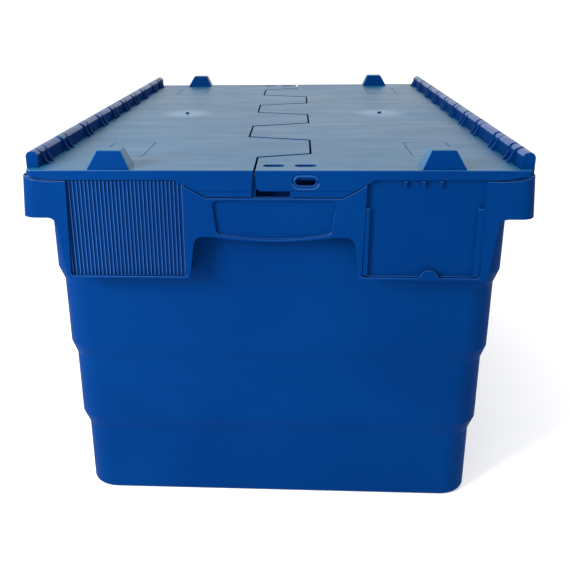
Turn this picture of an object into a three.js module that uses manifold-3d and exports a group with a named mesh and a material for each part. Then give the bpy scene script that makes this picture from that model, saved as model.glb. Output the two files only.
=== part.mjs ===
// Attached-lid container: a nestable 600 x 400 mm tote with two interlocking lid halves.
// Millimetres, +Z up. Origin on the floor under the middle of the tub; Y runs along the
// 600 mm length, and each lid hangs on a steel wire along one long side.
import * as THREE from 'three';
import { mergeVertices } from 'three/addons/utils/BufferGeometryUtils.js';
import Module from 'manifold-3d';

const wasm = await Module();
wasm.setup();

// ---- driving dimensions -------------------------------------------------------------
const HALF_WIDTH = 200;          // outer rim, across the hinges
const HALF_LENGTH = 300;         // outer rim, end plate to end plate
const LID_TOP = 310;             // top face of the closed lids above the floor
const RIM_RADIUS = 12;           // plan radius of the rim corners
const WALL = 2.8;                // tub wall
const FLOOR = 7;                 // floor slab, ribs included

// tub, outside: half sizes of the top tier and how far each lower tier steps in
const TUB_X = 186.4;
const TUB_Y = 282;
const TUB_RADIUS = 24;
const TIER_STEPS = [
  { low: 208, high: 221, inset: 3.6 },
  { low: 137, high: 150, inset: 6.9 },
  { low: 64, high: 78, inset: 10.9 },
];
const FOOT_FILLET = 8;

// rim and end plates
const RIM_TOP = LID_TOP - 3.4;   // inner rim that the lids lie on
const LEDGE_TOP = LID_TOP - 5;   // ledge outside the lids, which carries the knuckles
const FLANGE = 3;                // thickness of the rim flange
const RIM_BOTTOM = LID_TOP - 38;
const RIM_DRAFT = 2.5;           // how far the long sides of the rim lean in at the ledge
const SEAT_Y = 297;              // the lid seat reaches this far along
const SHOULDER_X = HALF_WIDTH - RIM_RADIUS - RIM_DRAFT;
const PLATE_BOTTOM = LID_TOP - 88;
const PLATE = 3;                 // thickness of the end plates and the rim band
const PANEL_DEPTH = 3.8;         // depth of the ribbed and label panels
const LEG_X = 168;               // half width of the end plate below the rim band
const GRIP_X = 70;               // half width of the finger space behind the handle
const NOTCH_LOW = LID_TOP - 21.9;
const NOTCH_X = 53;              // half width of the notch floor in the plate's top edge
const NOTCH_TOP_X = 76.5;
const RIB_PITCH = 3.05;
const RIB_COUNT = 29;
const RIB_HIGH = 1.1;

// lids
const LID = 3;                   // lid plate thickness
const LID_X = 192.5;             // reach of the lid's end strips
const LID_EDGE_X = 184.6;        // lid edge beside the knuckles
const STRIP_Y = [-295, 290];     // the +X lid's end strips lie outside these
const SKIRT = 2.5;
const SEAM_GAP = 1.5;            // between the fingers' sides
const SEAM_END_GAP = 4;          // between finger tips and roots, along Y
const SEAM = [                   // seam from the near end to its middle; the rest mirrors
  [-15, -300], [-15, -249], [28.5, -234], [28.5, -170],
  [-28, -151.5], [-28, -89], [28.5, -69.5], [28, -9],
];
const NUB_FOOT = [110.8, 145, -298, -277.5];
const NUB_HEAD = [117.5, 136.5, -295, -281];
const NUB_TOP = LID_TOP + 14.5;
const RIB_DEPTH = 7;
const RIB = 1.8;                 // thickness of the ribs under the lid
const RIB_X = [38, 104, 166];
const RIB_REACH = 268;
const RIB_STEP = 67;

// hinges: the +X row from the near end to the far one; the -X row is the same, turned half round
const AXIS_X = 190.2;
const AXIS_Z = LID_TOP + 7.5;
const KNUCKLE = 5;               // outer radius of the knuckles
const ROUND = 8;                 // sides of the bores and of the wire
const BORE = 2.4;
const ROD = 2;
const WIRE_Y = [-284, 284];      // ends of the wire, inside the two end blocks
const WIRE_END_GAP = 1;
const NEAR_BLOCK = [-294, -276]; // crate knuckle before the first strap
const FAR_BLOCK = [278.6, 287];  // thinner one after the last strap
const STRAPS = [-264, -212, -142, -84, -28, 28, 84, 142, 212, 270];
const STRAP = 14;                // length of one lid strap
const SLOT_BEFORE = 1.6;         // gap between a crate knuckle and the strap after it
const SLOT_AFTER = 5;            // gap between a strap and the crate knuckle after it
const GUSSET_X = 179.5;          // foot of the gussets on the lid
const GUSSET = 1.8;

const BLUE = { color: 0x0a4f9e, roughness: 0.42, metalness: 0 };
const STEEL = { color: 0xa9adb1, roughness: 0.35, metalness: 0.9 };

// ---- solids ---------------------------------------------------------------------------
function solid(geometry) {
  const bare = geometry.clone();
  bare.deleteAttribute('normal');
  bare.deleteAttribute('uv');
  const merged = mergeVertices(bare, 1e-4);
  return new wasm.Manifold(new wasm.Mesh({
    numProp: 3,
    vertProperties: new Float32Array(merged.attributes.position.array),
    triVerts: new Uint32Array(merged.index.array),
  }));
}

function geometryOf(body) {
  const mesh = body.getMesh();
  const geometry = new THREE.BufferGeometry();
  geometry.setAttribute('position', new THREE.BufferAttribute(mesh.vertProperties, 3));
  geometry.setIndex(new THREE.BufferAttribute(mesh.triVerts, 1));
  geometry.computeVertexNormals();
  return geometry;
}

function joined(parts) {
  return parts.reduce((whole, part) => whole.add(part));
}

function without(body, cuts) {
  return body.subtract(joined(cuts));
}

function box(x0, x1, y0, y1, z0, z1) {
  const geometry = new THREE.BoxGeometry(x1 - x0, y1 - y0, z1 - z0);
  geometry.translate((x0 + x1) / 2, (y0 + y1) / 2, (z0 + z1) / 2);
  return solid(geometry);
}

// Upright prism over a plan outline.
function prism(shape, z0, z1, curveSegments = 4) {
  const options = { depth: z1 - z0, bevelEnabled: false, curveSegments };
  const geometry = new THREE.ExtrudeGeometry(shape, options);
  geometry.translate(0, 0, z0);
  return solid(geometry);
}

// Slab over an outline drawn in X and Z, from y0 to y1.
function slab(shape, y0, y1, curveSegments = 4) {
  const options = { depth: y1 - y0, bevelEnabled: false, curveSegments };
  const geometry = new THREE.ExtrudeGeometry(shape, options);
  geometry.rotateX(Math.PI / 2);
  geometry.translate(0, y1, 0);
  return solid(geometry);
}

// Block with a different rectangle at its foot and its head.
function frustum(foot, head, z0, z1) {
  const geometry = new THREE.BoxGeometry(2, 2, 2);
  const points = geometry.attributes.position;
  for (let i = 0; i < points.count; i += 1) {
    const ring = points.getZ(i) < 0 ? foot : head;
    const x = points.getX(i) < 0 ? ring[0] : ring[1];
    const y = points.getY(i) < 0 ? ring[2] : ring[3];
    points.setXYZ(i, x, y, points.getZ(i) < 0 ? z0 : z1);
  }
  return solid(geometry);
}

function polygon(points) {
  return new THREE.Shape(points.map(([x, y]) => new THREE.Vector2(x, y)));
}

function roundedRectangle(halfX, halfY, radius) {
  const shape = new THREE.Shape();
  shape.moveTo(halfX, halfY - radius);
  shape.absarc(halfX - radius, halfY - radius, radius, 0, Math.PI / 2);
  shape.absarc(radius - halfX, halfY - radius, radius, Math.PI / 2, Math.PI);
  shape.absarc(radius - halfX, radius - halfY, radius, Math.PI, 1.5 * Math.PI);
  shape.absarc(halfX - radius, radius - halfY, radius, 1.5 * Math.PI, 2 * Math.PI);
  return shape;
}

function turnedRound(part) {
  return part.rotate([0, 0, 180]);
}

function mirroredX(part) {
  return part.mirror([1, 0, 0]);
}

// ---- tub ----------------------------------------------------------------------------
// A rounded block whose section shrinks by an inset in X, and one in Y, at each level.
function steppedBlock(halfX, halfY, radius, levels) {
  const steps = levels.length - 1;
  const options = { depth: steps, steps, bevelEnabled: false, curveSegments: 5 };
  const geometry = new THREE.ExtrudeGeometry(roundedRectangle(halfX, halfY, radius), options);
  const points = geometry.attributes.position;
  for (let i = 0; i < points.count; i += 1) {
    const x = points.getX(i);
    const y = points.getY(i);
    const { z, insetX, insetY } = levels[Math.round(points.getZ(i))];
    points.setXYZ(i, x - Math.sign(x) * insetX, y - Math.sign(y) * insetY, z);
  }
  return solid(geometry);
}

function tubLevels(bottom, top, extra) {
  const levels = [];
  const add = (z, inset) => levels.push({ z, insetX: inset + extra, insetY: inset + extra });
  for (const turn of [0, 30, 60, 90]) {
    const angle = THREE.MathUtils.degToRad(turn);
    const height = bottom + FOOT_FILLET * (1 - Math.cos(angle));
    add(height, TIER_STEPS[2].inset + FOOT_FILLET * (1 - Math.sin(angle)));
  }
  for (const index of [2, 1, 0]) {
    const above = index > 0 ? TIER_STEPS[index - 1].inset : 0;
    add(TIER_STEPS[index].low, TIER_STEPS[index].inset);
    add(TIER_STEPS[index].high, above);
  }
  add(top, 0);
  return levels;
}

function underside() {
  const columns = 4;
  const rows = 6;
  const rib = 3.5;
  const depth = FLOOR - 3.2;
  const reachX = 148;
  const reachY = 246;
  const stepX = (2 * reachX + rib) / columns;
  const stepY = (2 * reachY + rib) / rows;
  const pockets = [];
  for (let i = 0; i < columns; i += 1) {
    for (let j = 0; j < rows; j += 1) {
      const x = -reachX + i * stepX;
      const y = -reachY + j * stepY;
      pockets.push(box(x, x + stepX - rib, y, y + stepY - rib, -1, depth));
    }
  }
  return joined(pockets);
}

// ---- rim and end plates ---------------------------------------------------------------
// The rim as a block, inset by a thickness and leaning in towards the ledge.
function rimBlock(inset, z0, z1) {
  const lean = (z) => RIM_DRAFT * ((z - RIM_BOTTOM) / (LEDGE_TOP - RIM_BOTTOM));
  const halves = [HALF_WIDTH - inset, HALF_LENGTH - inset, RIM_RADIUS - inset];
  return steppedBlock(...halves, [
    { z: z0, insetX: lean(z0), insetY: 0 },
    { z: z1, insetX: lean(z1), insetY: 0 },
  ]);
}

function rimBand() {
  const opening = roundedRectangle(TUB_X - WALL, TUB_Y - WALL, TUB_RADIUS - WALL);
  const block = rimBlock(0, RIM_BOTTOM, LEDGE_TOP);
  const under = rimBlock(PLATE, RIM_BOTTOM - 1, LEDGE_TOP - FLANGE);
  const seat = box(-TUB_X, TUB_X, -SEAT_Y, SEAT_Y, LEDGE_TOP - 1, RIM_TOP);
  return block.subtract(under).add(seat).subtract(
    prism(opening, LEDGE_TOP - 20, LID_TOP + 1, 5));
}

// Thin webs between the tub wall and the rim band along both long sides.
function sideWebs() {
  const low = RIM_BOTTOM + 4;
  const high = LEDGE_TOP - 1;
  const outline = polygon([[TUB_X - 1, low], [HALF_WIDTH - 1.3, low],
    [HALF_WIDTH - RIM_DRAFT - 1, high], [TUB_X - 1, high]]);
  const webs = [];
  for (let y = -240; y <= 240; y += 60) {
    webs.push(slab(outline, y - 1, y + 1));
  }
  const side = joined(webs);
  return side.add(mirroredX(side));
}

function endPlateOutline() {
  const shape = new THREE.Shape();
  const band = RIM_BOTTOM;
  const hip = LEG_X + 5;
  shape.moveTo(GRIP_X - 3, PLATE_BOTTOM);
  shape.lineTo(LEG_X - 1, PLATE_BOTTOM);
  shape.lineTo(hip, band - 8);
  shape.quadraticCurveTo(hip + 1, band, hip + 9, band);
  shape.lineTo(SHOULDER_X, band);
  shape.lineTo(SHOULDER_X, LEDGE_TOP);
  shape.lineTo(-SHOULDER_X, LEDGE_TOP);
  shape.lineTo(-SHOULDER_X, band);
  shape.lineTo(-hip - 9, band);
  shape.quadraticCurveTo(-hip - 1, band, -hip, band - 8);
  shape.lineTo(1 - LEG_X, PLATE_BOTTOM);
  shape.lineTo(3 - GRIP_X, PLATE_BOTTOM);
  shape.quadraticCurveTo(-64, LID_TOP - 54, -52, LID_TOP - 53);
  shape.quadraticCurveTo(0, LID_TOP - 60, 50, LID_TOP - 53);
  shape.quadraticCurveTo(64, LID_TOP - 55, GRIP_X - 3, PLATE_BOTTOM);
  return shape;
}

// Region above the plate's top edge, where the lid skirts hang.
function skirtRoom(drop) {
  return polygon([
    [-194, LID_TOP + 1], [-194, LID_TOP - 3.3 - drop], [-186, LID_TOP - 5.2 - drop],
    [-176, LID_TOP - 6.9 - drop], [-164, LID_TOP - 7.6 - drop],
    [-NOTCH_TOP_X, LID_TOP - 7.6 - drop], [-NOTCH_X, NOTCH_LOW], [NOTCH_X, NOTCH_LOW],
    [NOTCH_TOP_X, LID_TOP - 7.6 - drop], [164, LID_TOP - 7.6 - drop],
    [176, LID_TOP - 6.9 - drop], [186, LID_TOP - 5.2 - drop], [194, LID_TOP - 3.3 - drop],
    [194, LID_TOP + 1],
  ]);
}

// Comb of upright ribs across the plain panel.
function ribComb(x0, floorY) {
  const points = [[x0, floorY + 1]];
  for (let i = 0; i < RIB_COUNT; i += 1) {
    const x = x0 + i * RIB_PITCH;
    points.push([x, floorY], [x + 0.7, floorY - RIB_HIGH], [x + 1.7, floorY - RIB_HIGH], [x + 2.4, floorY]);
  }
  points.push([x0 + RIB_COUNT * RIB_PITCH, floorY], [x0 + RIB_COUNT * RIB_PITCH, floorY + 1]);
  return prism(polygon(points.reverse()), PLATE_BOTTOM + 2, LID_TOP - 8.4);
}

// Shallow panel of the handle, whose lower edge sags along the grip's lip.
function gripPanel() {
  const shape = new THREE.Shape();
  shape.moveTo(-43, LID_TOP - 51.4);
  shape.quadraticCurveTo(0, LID_TOP - 58.2, 42, LID_TOP - 51.4);
  shape.lineTo(45, LID_TOP - 48);
  shape.lineTo(49, LID_TOP - 26.5);
  shape.lineTo(46, LID_TOP - 23.7);
  shape.lineTo(-46, LID_TOP - 23.7);
  shape.lineTo(-49, LID_TOP - 26.5);
  shape.lineTo(-45.5, LID_TOP - 48);
  return shape;
}

// Windows in the rebate behind the lid's seal slot and latch notch.
function sealWindows() {
  return joined([
    box(14.5, 33.5, 2 - HALF_LENGTH, 12 - HALF_LENGTH, LID_TOP - 13.5, LID_TOP),
    box(-14, 12.5, 2 - HALF_LENGTH, 12 - HALF_LENGTH, NOTCH_LOW + 0.4, LID_TOP - 15.5),
  ]);
}

// One end of the crate: handle plate with a ribbed panel, a label holder and a grip.
function endPlate() {
  const front = -HALF_LENGTH;
  const floorY = front + PANEL_DEPTH;
  const back = floorY + PLATE;
  const overhang = front + 1.8;
  const trays = joined([
    box(-166, -GRIP_X + 1, front + 1, back, PLATE_BOTTOM, LEDGE_TOP),
    box(GRIP_X - 4, 166, front + 1, back, PLATE_BOTTOM, LEDGE_TOP),
    box(-52, 52, front + 1, back, LID_TOP - 54, LEDGE_TOP),
    box(-190, 190, front + PLATE, back, LID_TOP - 27, LEDGE_TOP),
  ]);
  const recesses = joined([
    slab(polygon([[-161, LID_TOP], [-164, LID_TOP - 86.2], [-70, LID_TOP - 86.2],
      [-71, LID_TOP]].reverse()), front - 1, floorY),
    slab(polygon([[69, LID_TOP - 85.8], [161, LID_TOP - 85.8], [160, LID_TOP],
      [71, LID_TOP]]), front - 1, floorY),
    slab(gripPanel(), front - 1, front + 2.6),
  ]);
  const plate = slab(endPlateOutline(), front, front + PLATE + 0.5, 5).add(trays);
  const room = slab(skirtRoom(0.9), front - 1, front + PLATE);
  const openPlate = without(plate, [recesses, room]);
  const comb = ribComb(-160.5, floorY).subtract(room);
  const tab = new THREE.Shape();
  tab.absarc(121.5, PLATE_BOTTOM + 1.5, 7.2, 0, Math.PI);
  const holder = joined([
    box(67, 73, front, overhang, LID_TOP - 84, LID_TOP - 29.7),
    box(156, 163, front, overhang, LID_TOP - 84, LID_TOP - 29.7),
    slab(tab, front, overhang, 5),
    ...[99.5, 113.2, 126.2].map((x) => (
      box(x - 1.5, x + 1.5, floorY - 2.6, floorY + 1, LID_TOP - 14, LID_TOP - 8.5))),
  ]);
  const returns = joined([LEG_X - 4, GRIP_X, -GRIP_X, 4 - LEG_X].map((x) => (
    box(x - 1.3, x + 1.3, front + PLATE, 1 - TUB_Y, PLATE_BOTTOM, LEDGE_TOP - 1))));
  return joined([openPlate, holder, returns, comb]);
}

// ---- hinges -----------------------------------------------------------------------------
function bore() {
  const hole = new THREE.Shape();
  for (let i = 0; i < ROUND; i += 1) {
    const angle = (2 * Math.PI * i) / ROUND;
    const point = [AXIS_X + BORE * Math.cos(angle), AXIS_Z + BORE * Math.sin(angle)];
    if (i === 0) {
      hole.moveTo(...point);
    } else {
      hole.lineTo(...point);
    }
  }
  return slab(hole, WIRE_Y[0] - WIRE_END_GAP, WIRE_Y[1] + WIRE_END_GAP);
}

function domed(footX0, footX1, foot, y0, y1) {
  const shape = new THREE.Shape();
  shape.moveTo(footX1, foot);
  shape.lineTo(AXIS_X + KNUCKLE, AXIS_Z);
  shape.absarc(AXIS_X, AXIS_Z, KNUCKLE, 0, Math.PI);
  shape.lineTo(footX0, foot);
  return slab(shape, y0, y1, 5);
}

// Crate knuckles on the ledge of the +X side, between the lid's straps.
function crateKnuckles() {
  const spans = [NEAR_BLOCK, FAR_BLOCK];
  for (let i = 0; i + 1 < STRAPS.length; i += 1) {
    const start = STRAPS[i] + STRAP / 2 + SLOT_AFTER;
    const end = STRAPS[i + 1] - STRAP / 2 - SLOT_BEFORE;
    spans.push([start, end]);
  }
  return joined(spans.map(([y0, y1]) => domed(
    AXIS_X - KNUCKLE, AXIS_X + KNUCKLE, LEDGE_TOP - 1, y0, y1)));
}

// Straps that hook over the wire, each with a gusset at both of its sides.
function lidStraps() {
  const inner = AXIS_X - KNUCKLE;
  const outer = AXIS_X + KNUCKLE;
  const root = polygon([[178, LID_TOP - LID], [185, LID_TOP - LID], [outer, LID_TOP + 3],
    [outer, AXIS_Z - 1], [inner, AXIS_Z - 1], [inner, LID_TOP], [178, LID_TOP]]);
  const gusset = polygon([[GUSSET_X, LID_TOP - 1], [186, LID_TOP - 1], [186, AXIS_Z + 3.5],
    [184.5, AXIS_Z + 1], [GUSSET_X, LID_TOP]]);
  const parts = STRAPS.flatMap((centre) => {
    const y0 = centre - STRAP / 2;
    const y1 = centre + STRAP / 2;
    return [
      domed(inner, outer, LID_TOP + 3, y0, y1),
      slab(root, y0, y1),
      slab(gusset, y0, y0 + GUSSET),
      slab(gusset, y1 - GUSSET, y1),
    ];
  });
  return joined(parts).subtract(bore());
}

function hingeRod() {
  const geometry = new THREE.CylinderGeometry(ROD, ROD, WIRE_Y[1] - WIRE_Y[0], ROUND);
  geometry.rotateY(Math.PI / 2);
  geometry.translate(AXIS_X, (WIRE_Y[0] + WIRE_Y[1]) / 2, AXIS_Z);
  return geometry;
}

// ---- crate body -----------------------------------------------------------------------
function crateBody() {
  const outside = steppedBlock(TUB_X, TUB_Y, TUB_RADIUS, tubLevels(0, LEDGE_TOP - 1, 0));
  const inside = steppedBlock(TUB_X, TUB_Y, TUB_RADIUS, tubLevels(FLOOR, LID_TOP + 1, WALL));
  const end = endPlate();
  const knuckles = crateKnuckles();
  const shell = joined([outside, rimBand(), sideWebs()]);
  const room = slab(skirtRoom(0.9), -HALF_LENGTH - 1, PLATE - HALF_LENGTH);
  const open = without(shell, [inside, room, turnedRound(room), underside()]);
  const whole = joined([open, end, turnedRound(end), knuckles, turnedRound(knuckles)]);
  const wireRoom = bore();
  const windows = sealWindows();
  return without(whole, [wireRoom, turnedRound(wireRoom), windows, turnedRound(windows)]);
}

// ---- lids -------------------------------------------------------------------------------
// The parting line moved sideways by half of its gap, which is wider across the finger ends.
function seamLine() {
  const points = [...SEAM, ...[...SEAM].reverse().map(([x, y]) => [-x, -y])];
  const edges = points.slice(1).map(([x, y], i) => {
    const normal = new THREE.Vector2(y - points[i][1], points[i][0] - x).normalize();
    const gap = Math.abs(normal.y) > 0.5 ? SEAM_END_GAP : SEAM_GAP;
    return { normal, reach: gap / 2 };
  });
  return points.map(([x, y], i) => {
    const before = edges[Math.max(i - 1, 0)];
    const after = edges[Math.min(i, edges.length - 1)];
    if (before === after) {
      return [x + after.normal.x * after.reach, y];
    }
    const cross = before.normal.cross(after.normal);
    return [
      x + (before.reach * after.normal.y - after.reach * before.normal.y) / cross,
      y + (after.reach * before.normal.x - before.reach * after.normal.x) / cross,
    ];
  });
}

function lidOutline() {
  const shape = new THREE.Shape(seamLine().map(([x, y]) => new THREE.Vector2(x, y)));
  const radius = 6;
  shape.lineTo(LID_X - radius, HALF_LENGTH);
  shape.absarc(LID_X - radius, HALF_LENGTH - radius, radius, Math.PI / 2, 0, true);
  shape.lineTo(LID_X, STRIP_Y[1]);
  shape.lineTo(LID_EDGE_X, STRIP_Y[1]);
  shape.lineTo(LID_EDGE_X, STRIP_Y[0]);
  const nearRadius = STRIP_Y[0] + HALF_LENGTH;
  shape.absarc(LID_X - nearRadius, STRIP_Y[0], nearRadius, 0, -Math.PI / 2, true);
  return shape;
}

// Lower edge of a skirt from the outer corner to the deep middle, shared by both ends.
function skirtEdge() {
  return [
    [LID_X + 1, LID_TOP - 3.2], [186, LID_TOP - 5.2], [176, LID_TOP - 6.9],
    [164, LID_TOP - 7.6], [NOTCH_TOP_X, LID_TOP - 7.6], [NOTCH_X, LID_TOP - 21],
  ];
}

function skirts() {
  const top = LID_TOP - 0.5;
  const near = polygon([
    [-14.3, top], [LID_X + 1, top], ...skirtEdge(),
    [12.4, LID_TOP - 21], [12.4, LID_TOP - 16.2], [-9, LID_TOP - 16.2],
    [-12.6, LID_TOP - 14.5], [-14, LID_TOP - 9],
  ].reverse());
  const far = polygon([
    [15.9, top], [LID_X + 1, top], ...skirtEdge(),
    [17.6, LID_TOP - 21], [16.6, LID_TOP - 10],
  ].reverse());
  return slab(near, -HALF_LENGTH, SKIRT - HALF_LENGTH).add(
    slab(far, HALF_LENGTH - SKIRT, HALF_LENGTH));
}

function stadium(x0, x1, low, high) {
  const radius = (high - low) / 2;
  const shape = new THREE.Shape();
  shape.moveTo(x0 + radius, low);
  shape.absarc(x1 - radius, low + radius, radius, -Math.PI / 2, Math.PI / 2);
  shape.absarc(x0 + radius, low + radius, radius, Math.PI / 2, 1.5 * Math.PI);
  return shape;
}

function nubs() {
  const near = frustum(NUB_FOOT, NUB_HEAD, LID_TOP - 1, NUB_TOP);
  return near.add(near.mirror([0, 1, 0]));
}

// Stub left where the plastic was fed in.
function gateStub() {
  return frustum([105.8, 110.2, -2.2, 2.2], [106.4, 109.6, -1.6, 1.6], LID_TOP - 1, LID_TOP + 2.2);
}

function lidRibs() {
  const low = LID_TOP - LID - RIB_DEPTH;
  const high = LID_TOP - 1;
  const ribs = RIB_X.map((x) => box(x, x + RIB, -RIB_REACH, RIB_REACH, low, high));
  for (let y = -RIB_REACH; y <= RIB_REACH; y += RIB_STEP) {
    ribs.push(box(RIB_X[0], RIB_X[2] + 1, y - RIB / 2, y + RIB / 2, low, high));
  }
  return joined(ribs);
}

// The +X lid; the other one is the same moulding turned half round.
function lid() {
  const outline = lidOutline();
  const plate = prism(outline, LID_TOP - LID, LID_TOP);
  const trimmed = skirts().intersect(prism(outline, LID_TOP - 30, LID_TOP + 1));
  const slots = [
    prism(stadium(-9, 7.6, -286.5, -278), LID_TOP - 9, LID_TOP + 1),
    prism(stadium(15.6, 32.5, -286.5, -278), LID_TOP - 9, LID_TOP + 1),
    slab(stadium(16.3, 31.8, LID_TOP - 11.8, LID_TOP - 5.7), -301, -296),
  ];
  const whole = joined([plate, trimmed, nubs(), gateStub(), lidRibs(), lidStraps()]);
  return without(whole, slots);
}

// ---- assembly ---------------------------------------------------------------------------
function named(name, geometry, look) {
  const mesh = new THREE.Mesh(geometry, new THREE.MeshStandardMaterial(look));
  mesh.name = name;
  return mesh;
}

const group = new THREE.Group();
const lidGeometry = geometryOf(lid());
const rodGeometry = hingeRod();
group.add(named('crate_body', geometryOf(crateBody()), BLUE));
group.add(named('lid_right', lidGeometry, BLUE));
group.add(named('hinge_rod_right', rodGeometry, STEEL));
const leftLid = named('lid_left', lidGeometry, BLUE);
leftLid.rotation.z = Math.PI;
const leftRod = named('hinge_rod_left', rodGeometry, STEEL);
leftRod.rotation.z = Math.PI;
group.add(leftLid, leftRod);

export default group;
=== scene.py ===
"""Attached-lid container: smooth mouldings, materials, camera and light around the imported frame.

Shapes are built in millimetres and become metres when their mesh object is made.
"""

import math

import bmesh
import bpy
from mathutils import Matrix, Vector


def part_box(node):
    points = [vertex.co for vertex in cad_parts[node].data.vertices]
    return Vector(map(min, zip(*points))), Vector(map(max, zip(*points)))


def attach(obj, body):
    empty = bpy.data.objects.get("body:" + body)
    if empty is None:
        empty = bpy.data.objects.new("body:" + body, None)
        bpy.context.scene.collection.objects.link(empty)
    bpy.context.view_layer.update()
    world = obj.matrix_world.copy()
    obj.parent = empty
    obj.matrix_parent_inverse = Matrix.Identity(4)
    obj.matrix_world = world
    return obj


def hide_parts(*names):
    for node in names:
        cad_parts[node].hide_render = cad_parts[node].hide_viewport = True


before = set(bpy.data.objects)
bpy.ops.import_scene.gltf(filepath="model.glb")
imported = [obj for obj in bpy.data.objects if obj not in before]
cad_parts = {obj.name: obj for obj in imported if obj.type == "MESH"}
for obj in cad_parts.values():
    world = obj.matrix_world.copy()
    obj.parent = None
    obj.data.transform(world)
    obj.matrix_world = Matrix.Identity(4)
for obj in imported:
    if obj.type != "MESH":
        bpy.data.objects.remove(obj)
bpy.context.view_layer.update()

MM = 0.001
LOW, HIGH = (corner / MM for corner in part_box("crate_body"))

# ---- driving sizes, in millimetres ----------------------------------------------------
HALF_X = HIGH.x
HALF_Y = HIGH.y
KNUCKLE = 5.0
AXIS_RISE = 7.5
TOP = HIGH.z - KNUCKLE - AXIS_RISE          # top face of the closed lids
AXIS_X = 190.2
AXIS_Z = TOP + AXIS_RISE

WALL = 2.8
FLOOR = 7.0
TUB_X = 186.4
TUB_Y = 282.0
TUB_RADIUS = 24.0
# each step of the wall: its low and high level, and the inset below and above it
TIERS = ((64, 78, 10.9, 6.9), (137, 150, 6.9, 3.6), (208, 221, 3.6, 0.0))
FOOT_FILLET = 8.0
TIER_FILLET = 3.0

LEDGE = TOP - 5.0
SEAT = TOP - 3.4
SEAT_Y = 296.0                              # the lid seat reaches this far along
FLANGE = 3.0
BAND_LOW = TOP - 38.0
RIM_DRAFT = 2.5                             # the long sides of the rim lean in at the ledge
PLATE_LOW = TOP - 88.0
PLATE = 3.0
RIM_RADIUS = 12.0
PANEL_DEPTH = 3.8
COMB_RIB = 1.1                              # height of the ribs across the plain panel
NOTCH = TOP - 21.9
NOTCH_IN = 53.0
SKIRT_IN = 76.5                             # the skirt is at full depth from here outwards
SKIRT_OUT = 164.0                           # and rises towards the corner from here

LID = 3.0
LID_X = 192.5
LID_EDGE_X = 184.6
STRIP_Y = (-295.0, 290.0)                   # the +X lid's end strips lie outside these
SKIRT = 2.5
SEAM_GAP = 1.5
SEAM_END_GAP = 4.0
SEAM = [(-15, -300), (-15, -249), (28.5, -234), (28.5, -170),
        (-28, -151.5), (-28, -89), (28.5, -69.5), (28, -9)]

ROD = 2.0
BORE = 2.4
WIRE_Y = (-284.0, 284.0)
END_BLOCKS = ((-294.0, -276.0), (278.6, 287.0))
STRAPS = (-264, -212, -142, -84, -28, 28, 84, 142, 212, 270)
STRAP = 14.0
SLOT_BEFORE = 1.6
SLOT_AFTER = 5.0
GUSSET_X = 179.5

SHARP = 22                                  # edges turning more than this, in degrees, are rounded
SMOOTH = 38                                 # shading stays smooth across edges up to this angle


# ---- outlines ---------------------------------------------------------------------------
def rounded(corners, steps=6, closed=True):
    """An outline from (u, v) or (u, v, radius) corners, with each radius drawn as an arc."""
    points = []
    last = len(corners) - 1
    for i, corner in enumerate(corners):
        here = Vector(corner[:2])
        radius = corner[2] if len(corner) > 2 else 0
        if not radius or (not closed and i in (0, last)):
            points.append(tuple(here))
            continue
        back = Vector(corners[i - 1][:2]) - here
        ahead = Vector(corners[(i + 1) % len(corners)][:2]) - here
        half = back.angle(ahead) / 2
        reach = min(radius / math.tan(half), 0.48 * back.length, 0.48 * ahead.length)
        fitted = reach * math.tan(half)
        back.normalize()
        ahead.normalize()
        centre = here + (back + ahead).normalized() * fitted / math.sin(half)
        start = here + back * reach - centre
        end = here + ahead * reach - centre
        first = math.atan2(start.y, start.x)
        turn = math.atan2(end.y, end.x) - first
        turn = (turn + math.pi) % (2 * math.pi) - math.pi
        for k in range(steps + 1):
            angle = first + turn * k / steps
            points.append((centre.x + fitted * math.cos(angle), centre.y + fitted * math.sin(angle)))
    return points


def curve(start, pull, end, steps=14):
    """Points along a quadratic curve from start to end."""
    points = []
    for k in range(steps + 1):
        t = k / steps
        a, b, c = (1 - t) ** 2, 2 * t * (1 - t), t * t
        points.append(tuple(a * s + b * p + c * e for s, p, e in zip(start, pull, end)))
    return points


def rectangle(x0, x1, z0, z1, radius=0.0):
    return rounded([(x0, z0, radius), (x1, z0, radius), (x1, z1, radius), (x0, z1, radius)])


def circle(u, v, radius, sides=24):
    turns = [2 * math.pi * k / sides for k in range(sides)]
    return [(u + radius * math.cos(a), v + radius * math.sin(a)) for a in turns]


def stadium(x0, x1, low, high, grow=0.0):
    radius = (high - low) / 2 + grow
    return rectangle(x0 - grow, x1 + grow, low - grow, high + grow, radius * 0.999)


# ---- solids -----------------------------------------------------------------------------
def prism(outline, low, high, axis="Z"):
    """A closed prism over an outline: in X and Y along Z, or in X and Z along Y."""
    bm = bmesh.new()
    rows = []
    for w in (low, high):
        rows.append([bm.verts.new((u, v, w) if axis == "Z" else (u, w, v)) for u, v in outline])
    for row in rows:
        bm.faces.new(row)
    for i in range(len(outline)):
        bm.faces.new((rows[0][i - 1], rows[0][i], rows[1][i], rows[1][i - 1]))
    bmesh.ops.recalc_face_normals(bm, faces=bm.faces)
    return bm


def box(x0, x1, y0, y1, z0, z1):
    return prism(rectangle(x0, x1, y0, y1), z0, z1)


def loft(rings):
    """A closed solid through rings of equal count, capped at both ends."""
    bm = bmesh.new()
    rows = [[bm.verts.new(point) for point in ring] for ring in rings]
    for low, high in zip(rows, rows[1:]):
        for i in range(len(low)):
            bm.faces.new((low[i - 1], low[i], high[i], high[i - 1]))
    bm.faces.new(rows[0])
    bm.faces.new(rows[-1])
    bmesh.ops.recalc_face_normals(bm, faces=bm.faces)
    return bm


def ring(half_x, half_y, radius, z, steps=8):
    corners = [(half_x, -half_y, radius), (half_x, half_y, radius),
               (-half_x, half_y, radius), (-half_x, -half_y, radius)]
    return [(x, y, z) for x, y in rounded(corners, steps)]


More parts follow.
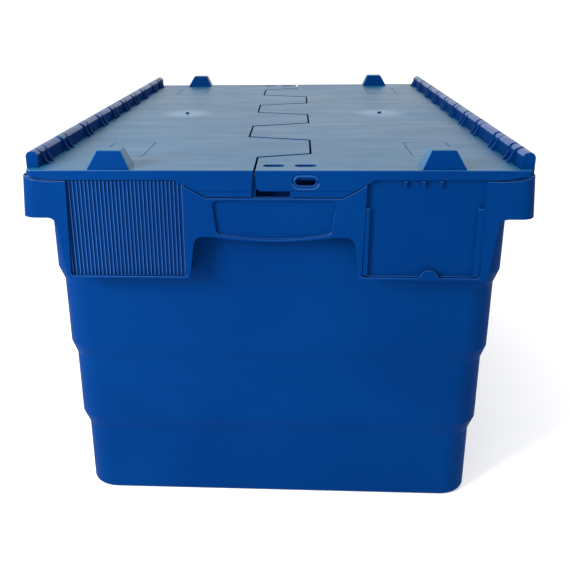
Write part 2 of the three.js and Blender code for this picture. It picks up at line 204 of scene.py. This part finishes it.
def soften(bm, width):
    """Rounds every edge that turns by more than SHARP degrees."""
    bmesh.ops.dissolve_limit(bm, angle_limit=math.radians(0.5), verts=bm.verts, edges=bm.edges)
    sharp = [e for e in bm.edges
             if len(e.link_faces) == 2 and e.calc_face_angle(0) > math.radians(SHARP)]
    bmesh.ops.bevel(bm, geom=sharp, offset=width, offset_type="OFFSET", segments=2,
                    profile=0.5, affect="EDGES", clamp_overlap=False)
    return bm


def pooled(parts):
    """Several separate solids as one mesh."""
    pool = bmesh.new()
    for part in parts:
        mesh = bpy.data.meshes.new("pool")
        part.to_mesh(mesh)
        part.free()
        pool.from_mesh(mesh)
        bpy.data.meshes.remove(mesh)
    return pool


def moved(bm, matrix):
    copy = bm.copy()
    bmesh.ops.transform(copy, matrix=matrix, verts=copy.verts)
    if matrix.determinant() < 0:
        bmesh.ops.reverse_faces(copy, faces=copy.faces)
    return copy


def turned_round(bm):
    return moved(bm, Matrix.Rotation(math.pi, 4, "Z"))


def mirrored(bm, axis=0):
    sizes = [1.0, 1.0, 1.0]
    sizes[axis] = -1.0
    return moved(bm, Matrix.Diagonal((*sizes, 1.0)))


def combine(base, others, operation, solver="EXACT"):
    """Boolean of base with each of the others."""
    tools = bpy.data.collections.new("tools")
    bpy.context.scene.collection.children.link(tools)
    made = []
    for part, home in [(base, bpy.context.scene.collection), *((o, tools) for o in others)]:
        mesh = bpy.data.meshes.new("part")
        part.to_mesh(mesh)
        part.free()
        made.append(bpy.data.objects.new("part", mesh))
        home.objects.link(made[-1])
    work = made[0].modifiers.new("combine", "BOOLEAN")
    work.operation = operation
    work.operand_type = "COLLECTION"
    work.collection = tools
    work.solver = solver
    shown = made[0].evaluated_get(bpy.context.evaluated_depsgraph_get())
    mesh = bpy.data.meshes.new_from_object(shown)
    result = bmesh.new()
    result.from_mesh(mesh)
    bpy.data.meshes.remove(mesh)
    for obj in made:
        old = obj.data
        bpy.data.objects.remove(obj)
        bpy.data.meshes.remove(old)
    bpy.data.collections.remove(tools)
    return result


def cut(base, *tools):
    return combine(base, tools, "DIFFERENCE")


def joined(base, *others):
    """Union; the operands are triangulated first so that no face comes out with holes."""
    for part in (base, *others):
        bmesh.ops.triangulate(part, faces=part.faces[:])
    return combine(base, others, "UNION", solver="MANIFOLD")


# ---- crate ------------------------------------------------------------------------------
def tub_path(bottom, top, extra):
    """(inset, height) up one tub wall, with the foot and every step rounded."""
    foot = TIERS[0][2] + extra
    corners = [(foot + FOOT_FILLET + 1, bottom), (foot, bottom, FOOT_FILLET)]
    for low, high, below, above in TIERS:
        corners.append((below + extra, low, TIER_FILLET))
        corners.append((above + extra, high, TIER_FILLET))
    corners.append((extra, top))
    return rounded(corners, steps=4, closed=False)


def skirt_line(drop, corner=0.0):
    """Lower edge of a lid skirt from the middle out to +X, lowered by drop, more at the corner."""
    low = TOP - 7.6 - drop
    points = [(NOTCH_IN, NOTCH), (SKIRT_IN, low), (SKIRT_OUT, low)]
    for x in (170, 176, 182, 188, 194):
        across = (x - SKIRT_OUT) / 30
        points.append((x, low + 4.3 * across ** 2 - corner * across))
    return points


def skirt_room():
    """The space a lid skirt takes up at an end, seen along Y."""
    right = skirt_line(0.9, 2.0)
    left = [(-x, z) for x, z in reversed(right)]
    return left + right + [(194, TOP + 1), (-194, TOP + 1)]


def rim_ring(inset, z):
    lean = RIM_DRAFT * (z - BAND_LOW) / (LEDGE - BAND_LOW)
    return ring(HALF_X - lean - inset, HALF_Y - inset, RIM_RADIUS - inset, z)


def tub_and_rim():
    """One loft: up the outside, round the rim band and lid seat, and down the inside."""
    rings = [ring(TUB_X - inset, TUB_Y - inset, TUB_RADIUS, z)
             for inset, z in tub_path(0, LEDGE - FLANGE, 0)]
    rings += [rim_ring(PLATE, LEDGE - FLANGE), rim_ring(PLATE, BAND_LOW)]
    rings += [rim_ring(0, BAND_LOW), rim_ring(0, LEDGE)]
    rings += [ring(TUB_X, SEAT_Y, 4, LEDGE), ring(TUB_X, SEAT_Y, 4, SEAT)]
    rings += [ring(TUB_X - inset, TUB_Y - inset, TUB_RADIUS, z)
              for inset, z in reversed(tub_path(FLOOR, SEAT, WALL))]
    shell = loft(rings)
    back = PLATE - HALF_Y + 0.03
    room = prism(skirt_room(), -HALF_Y - 1, back, axis="Y")
    window = box(-175, 175, -HALF_Y - 1, back, BAND_LOW - 1, LEDGE + 1)
    shell = cut(shell, room, turned_round(room), window, turned_round(window), *underside())
    return soften(shell, 0.4)


def underside():
    """Pockets that leave a grid of ribs under the floor."""
    columns, rows, rib = 4, 6, 3.5
    reach_x, reach_y = 148.0, 246.0
    step_x = (2 * reach_x + rib) / columns
    step_y = (2 * reach_y + rib) / rows
    pockets = []
    for i in range(columns):
        for j in range(rows):
            x = -reach_x + i * step_x
            y = -reach_y + j * step_y
            outline = rounded([(x, y, 5), (x + step_x - rib, y, 5),
                               (x + step_x - rib, y + step_y - rib, 5), (x, y + step_y - rib, 5)], 3)
            pockets.append(prism(outline, -1, FLOOR - 3.2))
    return pockets


def plate_outline():
    hip = 172.5
    rim = skirt_line(0.9, 2.0)[:-1]
    shoulder = HALF_X - RIM_RADIUS - RIM_DRAFT
    top_edge = [corner for corner in reversed(rim) if corner[0] < shoulder][:-2]
    right = [(hip, BAND_LOW, 8), (shoulder, BAND_LOW), *top_edge,
             (SKIRT_IN, TOP - 8.5, 3), (NOTCH_IN, NOTCH, 4)]
    left = [(-corner[0], *corner[1:]) for corner in reversed(right)]
    grip = curve((-50, TOP - 53), (0, TOP - 60.5), (48, TOP - 53))
    return rounded([
        (67, PLATE_LOW, 1.5), (167, PLATE_LOW, 3), *right, *left,
        (-167, PLATE_LOW, 3), (-67.5, PLATE_LOW, 1.5), (-62.5, TOP - 53, 11),
        *grip, (62.5, TOP - 53, 14)])


def panel_cuts():
    """Tools for the ribbed panel, the label panel and the grip's shallow panel."""
    front = -HALF_Y
    floor = front + PANEL_DEPTH
    ribbed = rounded([(-161, TOP), (-71, TOP), (-70, TOP - 86.2, 2), (-164, TOP - 86.2, 2)])
    label = rounded([(69, TOP - 85.8, 2), (161, TOP - 85.8, 2), (160, TOP), (71, TOP)])
    sag = curve((-42, TOP - 51.3), (0, TOP - 58.6), (41, TOP - 51.3))
    grip = rounded([(-45, TOP - 50.5, 3), *sag, (44, TOP - 50.5, 3),
                    (48.8, TOP - 23.7, 4), (-48.5, TOP - 23.7, 4)])
    return [prism(ribbed, front - 1, floor, "Y"), prism(label, front - 1, floor, "Y"),
            prism(grip, front - 1, front + 2.6, "Y")]


def seal_windows():
    """Openings in the end plate behind the lid's seal slot and latch notch."""
    return [box(14.5, 33.5, 2 - HALF_Y, 12 - HALF_Y, TOP - 13.5, TOP),
            box(-14, 12.5, 2 - HALF_Y, 12 - HALF_Y, NOTCH + 0.4, TOP - 15.5)]


def rib_comb():
    """The ribbed panel's vertical ribs, cut to the room under the lid's skirt."""
    pitch, count, start = 3.05, 31, -164.4
    floor = PANEL_DEPTH - HALF_Y
    valley = floor - 0.05
    outline = [(start, floor + 1), (start, valley)]
    for i in range(count):
        x = start + i * pitch
        outline += [(x + 0.75, valley), (x + 0.95, floor - 0.7 * COMB_RIB),
                    (x + 1.3, floor - COMB_RIB), (x + 1.75, floor - COMB_RIB),
                    (x + 2.1, floor - 0.7 * COMB_RIB), (x + 2.3, valley)]
    outline += [(start + count * pitch, valley), (start + count * pitch, floor + 1)]
    room = prism(skirt_room(), -HALF_Y - 1, PLATE - HALF_Y, "Y")
    return cut(prism(outline, PLATE_LOW + 1.5, TOP - 8.4), room)


def label_holder():
    front = -HALF_Y
    rail = front + 0.7
    lip = front + 2.4
    floor = front + PANEL_DEPTH
    tab = [(x, z) for x, z in circle(121.5, PLATE_LOW + 1.5, 7.2, 32) if z >= PLATE_LOW + 1.4]
    parts = [soften(prism(tab, front + 0.05, lip, "Y"), 0.4)]
    for x0, x1 in ((69.6, 73.6), (155.6, 160.8)):
        parts.append(soften(prism(rectangle(x0, x1, TOP - 84.5, TOP - 29.7, 1.2),
                                  rail, floor + 0.5, "Y"), 0.5))
    for x in (99.5, 113.2, 126.2):
        parts.append(soften(box(x - 1.5, x + 1.5, floor - 2.6, floor + 1,
                                TOP - 14, TOP - 8.5), 0.6))
    return parts


def end_plate():
    front = -HALF_Y
    back = front + PANEL_DEPTH + PLATE
    slab = prism(plate_outline(), front, front + PLATE + 0.5, "Y")
    trays = [
        box(-165, -69, front + 1, back, PLATE_LOW + 1, TOP - 8.6),
        box(66, 165, front + 1, back, PLATE_LOW + 1, TOP - 8.6),
        box(-52, 52, front + 1, back, TOP - 53.4, NOTCH - 0.1),
        box(-188, 188, front + PLATE, back, TOP - 27, LEDGE - 0.05),
    ]
    slab = joined(slab, *trays)
    plate = soften(cut(slab, *panel_cuts(), *seal_windows()), 0.4)
    webs = [soften(box(x - 1.3, x + 1.3, front + PLATE, 1 - TUB_Y, PLATE_LOW + 1.2, LEDGE - 1), 0.4)
            for x in (164, 70, -70, -164)]
    return joined(plate, rib_comb(), *label_holder(), *webs)


def hinge_arc():
    """Half a circle over the hinge axis, from its outer side to its inner one."""
    turns = [math.pi * k / 16 for k in range(17)]
    return [(AXIS_X + KNUCKLE * math.cos(a), AXIS_Z + KNUCKLE * math.sin(a)) for a in turns]


def domed(foot, y0, y1):
    """A hinge knuckle: flat sided below, round on top about the hinge axis."""
    outline = [(AXIS_X + KNUCKLE, foot), *hinge_arc(), (AXIS_X - KNUCKLE, foot)]
    return prism(outline, y0, y1, "Y")


def knuckle_spans():
    """Where the crate's knuckles stand: the end blocks, and between the lid's straps."""
    spans = list(END_BLOCKS)
    for before, after in zip(STRAPS, STRAPS[1:]):
        spans.append((before + STRAP / 2 + SLOT_AFTER, after - STRAP / 2 - SLOT_BEFORE))
    return spans


def wire_bore():
    return prism(circle(AXIS_X, AXIS_Z, BORE), WIRE_Y[0] - 1, WIRE_Y[1] + 1, "Y")


def crate_knuckles():
    blocks = pooled([domed(LEDGE - 1, y0, y1) for y0, y1 in knuckle_spans()])
    return soften(cut(blocks, wire_bore()), 0.5)


def side_webs():
    """Webs between the tub wall and the long side of the rim, following its draft."""
    low, high = BAND_LOW + 4, LEDGE - 1
    outline = [(TUB_X - 1, low), (HALF_X - 1.3, low), (HALF_X - RIM_DRAFT - 1, high), (TUB_X - 1, high)]
    webs = [prism(outline, y - 1, y + 1, "Y") for y in range(-240, 241, 60)]
    return pooled([soften(web, 0.3) for web in webs])


def crate_body():
    plate = end_plate()
    knuckles = crate_knuckles()
    webs = side_webs()
    return joined(tub_and_rim(), turned_round(plate), plate,
                  turned_round(knuckles), knuckles, mirrored(webs), webs)


# ---- lids -------------------------------------------------------------------------------
def seam_line():
    """The comb-shaped parting line, moved by half its gap, which is wider at the finger ends."""
    points = [Vector(p) for p in SEAM + [(-x, -y) for x, y in reversed(SEAM)]]
    edges = []
    for here, after in zip(points, points[1:]):
        along = (after - here).normalized()
        normal = Vector((along.y, -along.x))
        gap = SEAM_END_GAP if abs(normal.y) > 0.5 else SEAM_GAP
        edges.append((normal, gap / 2))
    line = [tuple(points[0] + edges[0][0] * edges[0][1])]
    for point, (n1, d1), (n2, d2) in zip(points[1:], edges, edges[1:]):
        cross = n1.x * n2.y - n1.y * n2.x
        if abs(cross) < 0.02:
            line.append(tuple(point + n1 * d1))
        else:
            line.append((point.x + (d1 * n2.y - d2 * n1.y) / cross,
                         point.y + (d2 * n1.x - d1 * n2.x) / cross))
    line.append(tuple(points[-1] + edges[-1][0] * edges[-1][1]))
    return line


def lid_outline():
    seam = seam_line()
    inner = [(x, y, 2.5) for x, y in seam[1:-1]]
    near, far = STRIP_Y
    return rounded([
        seam[0], *inner, seam[-1], (LID_X, HALF_Y, 6), (LID_X, far), (LID_EDGE_X, far),
        (LID_EDGE_X, near), (LID_X, near), (LID_X, -HALF_Y, 5)], steps=5)


def label_field(sign):
    """A thin groove round the outlined field near one end of the lid."""
    y0, y1 = sorted((sign * 246, sign * 182))
    cut_corner = 3
    def field(inset):
        a, b = 111 + inset, 149 - inset
        low, high = y0 + inset, y1 - inset
        return [(a, low), (b - cut_corner, low), (b, low + cut_corner), (b, high),
                (a + cut_corner, high), (a, high - cut_corner)]
    outer = prism(field(0), TOP - 0.45, TOP + 1)
    return cut(outer, prism(field(0.7), TOP - 2, TOP + 2))


def gate_stub():
    """Stub left where the plastic was fed in."""
    rings = [(2.2, TOP - 1), (2.1, TOP + 1.6), (1.5, TOP + 2.2)]
    return loft([[(x, y, z) for x, y in circle(108, 0, r, 16)] for r, z in rings])


def lid_plate():
    front = -HALF_Y
    plate = prism(lid_outline(), TOP - LID, TOP)
    slots = [prism(stadium(x0, x1, front + 13.5, front + 22), TOP - 9, TOP + 1)
             for x0, x1 in ((-9, 7.6), (15.6, 32.5))]
    plate = soften(cut(plate, *slots), 0.45)
    return cut(plate, label_field(-1), label_field(1))


def skirt(corners, y0, y1, tools):
    outline = rounded(corners, steps=4)
    slab = combine(prism(outline, y0, y1, "Y"),
                   [prism(lid_outline(), TOP - 40, TOP + 5)], "INTERSECT")
    if tools:
        slab = cut(slab, *tools)
    return soften(slab, 0.45)


def skirts():
    top = TOP - 0.6
    line = [(x, z) for x, z in skirt_line(0) if x < 193]
    outer = [(LID_X + 1, line[-1][1] + 0.7), *reversed(line[2:]), (SKIRT_IN, TOP - 7.6, 3)]
    near = [(-14.3, top), (LID_X + 1, top), *outer, (NOTCH_IN, TOP - 21, 3),
            (12.4, TOP - 21), (12.4, TOP - 16.2), (-12.4, TOP - 16.2, 3.5), (-14, TOP - 10)]
    far = [(15.9, top), (LID_X + 1, top), *outer, (NOTCH_IN, TOP - 21, 3),
           (17.6, TOP - 21, 1), (16.6, TOP - 10, 6)]
    front = -HALF_Y
    lip = TOP - 16.2
    seal = (16.3, 31.8, TOP - 11.8, TOP - 5.7)
    surround = cut(prism(stadium(*seal, 2.6), front - 1, front + 0.6, "Y"),
                   prism(stadium(*seal, 1.2), front - 2, front + 2, "Y"))
    near_tools = [prism(stadium(*seal), front - 2, front + 5, "Y"), surround,
                  box(-60, 60, front - 1, front + 0.6, TOP - 30, lip)]
    far_tools = [box(-60, 60, HALF_Y - 0.6, HALF_Y + 1, TOP - 30, lip)]
    return [skirt(near, front, front + SKIRT, near_tools),
            skirt(far, HALF_Y - SKIRT, HALF_Y, far_tools)]


def nub():
    """A tapered stacking nub, rounded at its head."""
    foot = [(110.8, -298), (145, -298), (145, -277.5), (110.8, -277.5)]
    head = [(117.5, -295), (136.5, -295), (136.5, -281), (117.5, -281)]
    rows = [[(x, y, TOP - 1) for x, y in foot], [(x, y, TOP) for x, y in foot],
            [(x, y, TOP + 14.5) for x, y in head]]
    block = loft(rows)
    sharp = [e for e in block.edges if max(v.co.z for v in e.verts) > TOP + 5]
    bmesh.ops.bevel(block, geom=sharp, offset=1.3, offset_type="OFFSET", segments=3,
                    profile=0.5, affect="EDGES", clamp_overlap=False)
    return block


def lid_straps():
    cores = []
    gussets = []
    for centre in STRAPS:
        y0, y1 = centre - STRAP / 2, centre + STRAP / 2
        cores.append(prism([(185, TOP - LID), (AXIS_X + KNUCKLE, TOP + 3), *hinge_arc(),
                            (AXIS_X - KNUCKLE, TOP + 0.5), (178, TOP - 0.4), (178, TOP - LID)],
                           y0, y1, "Y"))
        for low in (y0 + 0.2, y1 - 2.1):
            web = [(GUSSET_X, TOP - 1), (186, TOP - 1), (186, AXIS_Z + 3.5),
                   (184.5, AXIS_Z + 1, 1), (GUSSET_X, TOP)]
            gussets.append(prism(rounded(web, 3), low, low + 1.9, "Y"))
    cores = soften(cut(pooled(cores), wire_bore()), 0.45)
    return [cores, soften(pooled(gussets), 0.4)]


def lid_ribs():
    low, high = TOP - LID - 7, TOP - 1
    bars = [box(x, x + 1.8, -268, 268, low, high) for x in (38, 104, 166)]
    bars += [box(38, 167, y - 0.9, y + 0.9, low, high) for y in range(-268, 269, 67)]
    return [soften(bar, 0.35) for bar in bars]


def lid():
    return joined(lid_plate(), *skirts(), nub(), mirrored(nub(), axis=1), gate_stub(),
                  *lid_ribs(), *lid_straps())


def hinge_wire():
    y0, y1 = WIRE_Y
    stations = [(0.6, y0), (1.6, y0 + 0.1), (ROD - 0.02, y0 + 0.6),
                (ROD - 0.02, y1 - 0.6), (1.6, y1 - 0.1), (0.6, y1)]
    return loft([[(x, y, z) for x, z in circle(AXIS_X, AXIS_Z, r)] for r, y in stations])


# ---- materials --------------------------------------------------------------------------
class Nodes:
    """A short way to write a node tree."""

    def __init__(self, name):
        self.material = bpy.data.materials.new(name)
        self.material.use_nodes = True
        self.tree = self.material.node_tree
        self.shader = self.tree.nodes["Principled BSDF"]
        self.place = self.add("ShaderNodeTexCoord").outputs["Object"]

    def add(self, kind, **values):
        node = self.tree.nodes.new(kind)
        for name, value in values.items():
            setattr(node, name, value)
        return node

    def link(self, start, end):
        self.tree.links.new(start, end)

    def stretched(self, scale):
        node = self.add("ShaderNodeMapping")
        node.inputs["Scale"].default_value = scale
        self.link(self.place, node.inputs["Vector"])
        return node.outputs["Vector"]

    def noise(self, scale, detail, stretch=None, distortion=0.0):
        node = self.add("ShaderNodeTexNoise")
        node.inputs["Scale"].default_value = scale
        node.inputs["Detail"].default_value = detail
        node.inputs["Distortion"].default_value = distortion
        self.link(self.stretched(stretch) if stretch else self.place, node.inputs["Vector"])
        return node.outputs["Fac"]

    def remap(self, value, low, high, out_low, out_high):
        node = self.add("ShaderNodeMapRange")
        for name, number in (("From Min", low), ("From Max", high),
                             ("To Min", out_low), ("To Max", out_high)):
            node.inputs[name].default_value = number
        self.link(value, node.inputs["Value"])
        return node.outputs["Result"]

    def math(self, operation, a, b=0.0):
        node = self.add("ShaderNodeMath", operation=operation)
        for socket, value in zip(node.inputs, (a, b)):
            if isinstance(value, (int, float)):
                socket.default_value = value
            else:
                self.link(value, socket)
        return node.outputs[0]

    def mix(self, factor, a, b):
        node = self.add("ShaderNodeMix", data_type="RGBA")
        self.link(factor, node.inputs[0])
        for socket, value in ((node.inputs[6], a), (node.inputs[7], b)):
            if isinstance(value, tuple):
                socket.default_value = value
            else:
                self.link(value, socket)
        return node.outputs[2]

    def bump(self, height, distance, strength, below=None):
        node = self.add("ShaderNodeBump")
        node.inputs["Strength"].default_value = strength
        node.inputs["Distance"].default_value = distance
        self.link(height, node.inputs["Height"])
        if below is not None:
            self.link(below, node.inputs["Normal"])
        return node.outputs["Normal"]


def blue_plastic(name, deep, clear, specular, roughness):
    """Satin moulded polyolefin between two blues."""
    n = Nodes(name)
    flow = n.noise(9, 3, distortion=0.6)
    base = n.mix(n.remap(flow, 0.3, 0.7, 0, 1), deep, clear)
    scuff = n.noise(60, 5, stretch=(0.25, 1.0, 1.0))
    n.link(n.remap(scuff, 0.3, 0.75, *roughness), n.shader.inputs["Roughness"])
    grain = n.bump(n.noise(1500, 2), 0.00005, 0.5)
    n.link(n.bump(n.noise(14, 2), 0.0005, 0.3, below=grain), n.shader.inputs["Normal"])
    n.shader.inputs["Specular IOR Level"].default_value = specular
    return n, base


def body_blue():
    n, base = blue_plastic("blue_body", (0.0, 0.0185, 0.098, 1), (0.0, 0.0228, 0.113, 1),
                           0.01, (0.40, 0.56))
    n.link(base, n.shader.inputs["Base Color"])
    return n.material


def painted_highlight_blue():
    """The same plastic, glossier, for rounded edges, rib crests and the top of the hinge row, with a
    lighter blue base that is a painted highlight.
    """
    # painted highlight: these blues are lighter than the body's, on top of the real gloss
    n, base = blue_plastic("blue_painted_highlight", (0.002, 0.036, 0.150, 1), (0.006, 0.056, 0.200, 1),
                           0.32, (0.26, 0.38))
    n.link(base, n.shader.inputs["Base Color"])
    return n.material


def sky_painted_lid_blue():
    """Grained lid tops: greyer at a low angle, finely streaked along X, with a lighter base that is a
    painted reflection of the sky and a pale painted highlight round the gate.
    """
    # painted reflection: these blues are lighter and greyer than the body's, for the sky seen in the
    # tops
    n, base = blue_plastic("blue_lid_painted_reflection", (0.0, 0.070, 0.158, 1), (0.0, 0.088, 0.190, 1),
                           0.43, (0.36, 0.46))
    split = n.add("ShaderNodeSeparateXYZ")
    n.link(n.place, split.inputs[0])
    across = n.math("SUBTRACT", n.math("ABSOLUTE", split.outputs["X"]), 0.108)
    along = split.outputs["Y"]
    squared = n.math("ADD", n.math("MULTIPLY", across, across), n.math("MULTIPLY", along, along))
    # painted highlight: a pale grey-blue mixed into the base colour round the gate
    painted_gate_highlight = n.remap(squared, 0, 0.0010, 0.40, 0)
    n.link(n.mix(painted_gate_highlight, base, (0.26, 0.38, 0.52, 1)), n.shader.inputs["Base Color"])
    streak = n.noise(420, 3, stretch=(0.03, 1, 1))
    below = n.shader.inputs["Normal"].links[0].from_socket
    n.link(n.bump(streak, 0.00006, 0.3, below=below), n.shader.inputs["Normal"])
    return n.material


def steel_wire():
    n = Nodes("steel_wire")
    drawn = n.noise(900, 3, stretch=(1, 0.02, 1))
    n.link(n.mix(drawn, (0.42, 0.43, 0.45, 1), (0.62, 0.63, 0.65, 1)), n.shader.inputs["Base Color"])
    n.link(n.remap(drawn, 0.3, 0.7, 0.25, 0.42), n.shader.inputs["Roughness"])
    n.link(n.bump(drawn, 0.00003, 0.5), n.shader.inputs["Normal"])
    n.shader.inputs["Metallic"].default_value = 1.0
    return n.material


def floor_paint():
    n = Nodes("floor_paint")
    speck = n.noise(30, 4)
    n.link(n.mix(speck, (0.88, 0.88, 0.88, 1), (0.92, 0.92, 0.92, 1)), n.shader.inputs["Base Color"])
    n.shader.inputs["Emission Color"].default_value = (1, 1, 1, 1)
    n.shader.inputs["Emission Strength"].default_value = 0.25
    n.shader.inputs["Roughness"].default_value = 0.85
    n.shader.inputs["Specular IOR Level"].default_value = 0.1
    return n.material


# ---- pieces -----------------------------------------------------------------------------
def sky_painted_grain_faces(face):
    """The flat top of a lid, with the top and flanks of its stacking nubs: faces given the top plastic,
    with its grain and its painted reflection of the sky.
    """
    flat = face.normal.z > 0.9 and abs(face.center.z - TOP * MM) < 0.0008
    nub = abs(face.center.x) < 0.150 and face.center.z > (TOP + 1) * MM and abs(face.normal.y) < 0.7
    return flat or nub


def glossy_with_painted_highlight(mesh, face):
    """The round top of the hinge row, a rib's crest, or a narrow rounded edge that faces upwards: faces
    given the glossier plastic with its painted highlight.
    """
    x, y, z = (abs(part) / MM for part in face.center)
    if x > 184 and z > AXIS_Z + 1:
        return face.normal.z > 0.3
    if abs(y - (HALF_Y - PANEL_DEPTH + COMB_RIB)) < 0.05:
        return abs(face.normal.y) > 0.9
    if x < 34 and y < 292:
        return False
    points = [mesh.vertices[i].co for i in face.vertices]
    width = min((a - b).length for a, b in zip(points, points[1:] + points[:1]))
    tilted = max(abs(part) for part in face.normal) < 0.985
    return width < 0.5 * MM and tilted and face.normal.z > 0.1 and z > 200


def piece(name, bm, materials, body, node):
    bmesh.ops.scale(bm, vec=(MM, MM, MM), verts=bm.verts)
    bmesh.ops.triangulate(bm, faces=[face for face in bm.faces if len(face.verts) > 4])
    mesh = bpy.data.meshes.new(name)
    bm.to_mesh(mesh)
    bm.free()
    mesh.polygons.foreach_set("use_smooth", [True] * len(mesh.polygons))
    mesh.set_sharp_from_angle(angle=math.radians(SMOOTH))
    for material in materials:
        mesh.materials.append(material)
    if len(materials) > 1:
        # lid tops and nub faces take the lighter top blue, a painted reflection; upward rounded edges,
        # rib crests and hinge tops take the lighter edge blue, a painted highlight
        for face in mesh.polygons:
            if sky_painted_grain_faces(face):
                face.material_index = 1
            elif glossy_with_painted_highlight(mesh, face):
                face.material_index = 2
    obj = bpy.data.objects.new(name, mesh)
    bpy.context.scene.collection.objects.link(obj)
    weighted = obj.modifiers.new("flat faces", "WEIGHTED_NORMAL")
    weighted.keep_sharp = True
    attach(obj, body)
    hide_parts(node)


def build_object():
    blues = [body_blue(), sky_painted_lid_blue(), painted_highlight_blue()]
    wire = [steel_wire()]
    piece("crate_moulding", crate_body(), blues, "crate", "crate_body")
    right = lid()
    left = turned_round(right)
    piece("lid_moulding_right", right, blues, "right_lid", "lid_right")
    piece("lid_moulding_left", left, blues, "left_lid", "lid_left")
    rod = hinge_wire()
    other = turned_round(rod)
    piece("hinge_wire_right", rod, wire, "crate", "hinge_rod_right")
    piece("hinge_wire_left", other, wire, "crate", "hinge_rod_left")


# ---- stage ------------------------------------------------------------------------------
def camera():
    """The view from one end, a little above and close enough for strong perspective."""
    yaw, pitch, roll = (math.radians(a) for a in (-3.512, 20.408, -0.712))
    level = math.cos(pitch)
    ahead = Vector((math.sin(yaw) * level, math.cos(yaw) * level, -math.sin(pitch)))
    right = Vector((math.cos(yaw), -math.sin(yaw), 0))
    up = right.cross(ahead)
    tilted_right = math.cos(roll) * right + math.sin(roll) * up
    tilted_up = math.cos(roll) * up - math.sin(roll) * right
    data = bpy.data.cameras.new("camera")
    data.sensor_width = 36
    data.lens = 47.69
    data.shift_x = 0.0541
    data.shift_y = -0.0110
    obj = bpy.data.objects.new("camera", data)
    turn = Matrix((tilted_right, tilted_up, -ahead)).transposed().to_4x4()
    obj.matrix_world = Matrix.Translation(Vector((18.572, -863.186, 432.497)) * MM) @ turn
    bpy.context.scene.collection.objects.link(obj)
    bpy.context.scene.camera = obj


def area_light(name, place, target, size, power):
    data = bpy.data.lights.new(name, "AREA")
    data.shape = "RECTANGLE"
    data.size, data.size_y = size
    data.energy = power
    obj = bpy.data.objects.new(name, data)
    obj.location = place
    aim = Vector(target) - Vector(place)
    obj.rotation_euler = aim.to_track_quat("-Z", "Y").to_euler()
    obj.visible_camera = False
    bpy.context.scene.collection.objects.link(obj)


def stage():
    floor = bmesh.new()
    bmesh.ops.create_grid(floor, x_segments=8, y_segments=8, size=14)
    mesh = bpy.data.meshes.new("floor")
    floor.to_mesh(mesh)
    floor.free()
    mesh.materials.append(floor_paint())
    obj = bpy.data.objects.new("floor", mesh)
    bpy.context.scene.collection.objects.link(obj)
    world = bpy.data.worlds.new("studio")
    world.use_nodes = True
    back = world.node_tree.nodes["Background"]
    back.inputs["Color"].default_value = (1.0, 1.0, 1.0, 1)
    back.inputs["Strength"].default_value = 1.1
    bpy.context.scene.world = world
    area_light("key", (-0.75, -0.90, 0.60), (-0.12, -0.3, 0.18), (0.4, 0.4), 20)
    bpy.context.scene.view_settings.view_transform = "Standard"


camera()
build_object()
stage()
